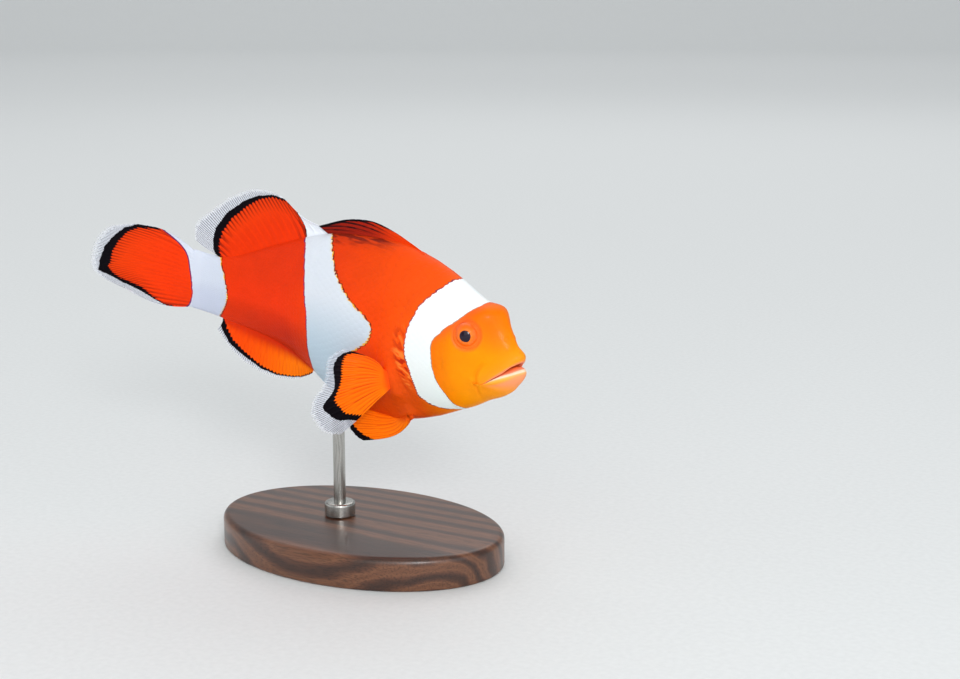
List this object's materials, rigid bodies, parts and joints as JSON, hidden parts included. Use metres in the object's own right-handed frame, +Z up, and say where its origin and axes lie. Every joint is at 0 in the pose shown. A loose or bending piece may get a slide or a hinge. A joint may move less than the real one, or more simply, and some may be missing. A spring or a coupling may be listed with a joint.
{
  "type": "clownfish model on a display stand",
  "caption": "Life-size still clownfish, orange with white bands, fins spread and body gently bent, held above an oval base by a slim rod.",
  "frame": {"origin": "centre of the underside of the stand's base", "axes": "+X the way the fish faces, +Y its left, +Z up"},
  "size_m": [0.0903, 0.038, 0.0654],
  "materials": {
    "skin": "satin orange fish skin with three white bands",
    "fin": "thin ribbed orange membrane with a black margin",
    "eye": "wet clear eye with an orange iris and a black pupil",
    "stand_wood": "oiled dark walnut",
    "stand_steel": "brushed stainless steel"
  },
  "bodies": {
    "root": {"head": "skin", "trunk": "skin", "trunk_rear": "skin", "tail_stalk": "skin", "eye_right": "eye", "eye_left": "eye", "dorsal_fin_spiny": "fin", "dorsal_fin_soft": "fin", "anal_fin": "fin", "tail_fin": "fin", "pectoral_fin_right": "fin", "pectoral_fin_left": "fin", "pelvic_fin_right": "fin", "pelvic_fin_left": "fin", "stand_base": "stand_wood", "stand_rod": "stand_steel", "stand_collar": "stand_steel"}
  },
  "joints": []
}
